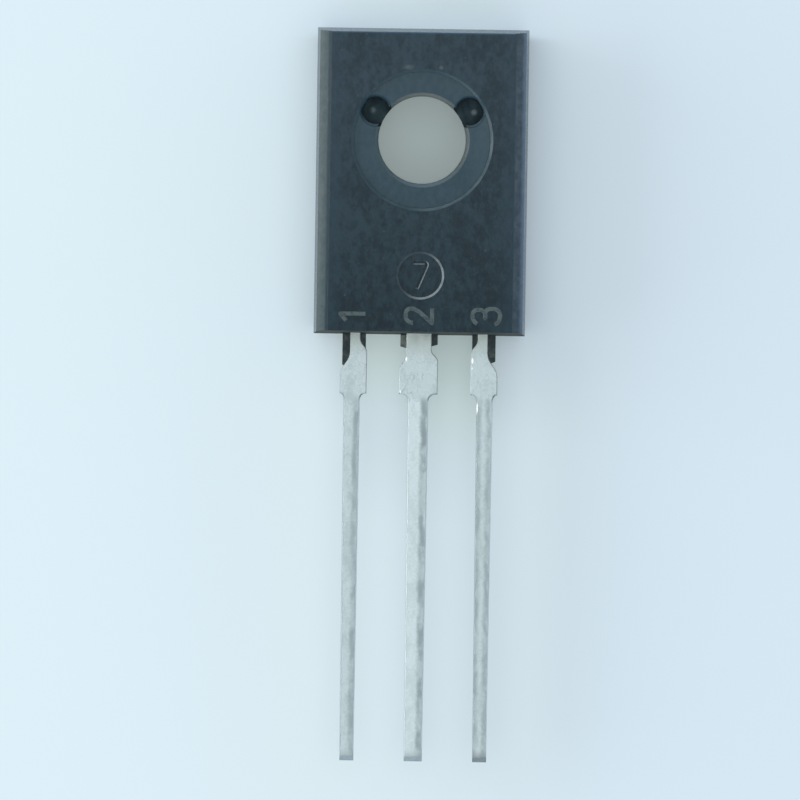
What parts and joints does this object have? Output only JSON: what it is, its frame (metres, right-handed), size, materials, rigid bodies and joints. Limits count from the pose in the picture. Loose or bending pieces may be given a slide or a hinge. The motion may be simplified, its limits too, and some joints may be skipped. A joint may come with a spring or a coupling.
{
  "type": "power transistor",
  "caption": "Flat moulded power transistor with a screw hole, a washer seat round it, a bare metal back and a row of necked flat leads.",
  "frame": {"origin": "on the screw hole's axis, at the seating plane of the bare metal back", "axes": "+Z along the screw hole, out of the marked front; -Y along the leads, from body to tips; +X to the base lead's side"},
  "size_m": [0.0076, 0.0264, 0.0025],
  "materials": {
    "epoxy": "black moulded epoxy, eroded-mould matte with a smoother washer seat",
    "tinned_copper": "copper alloy dipped in tin, dull and a little mottled",
    "silicon": "polished grey silicon with metal bond pads",
    "solder": "soft lead solder",
    "bond_wire": "drawn aluminium"
  },
  "bodies": {
    "root": {"moulded_body": "epoxy", "collector_frame": "tinned_copper", "emitter_lead": "tinned_copper", "base_lead": "tinned_copper", "silicon_die": "silicon", "die_solder": "solder", "emitter_wire": "bond_wire", "base_wire": "bond_wire"}
  },
  "joints": []
}
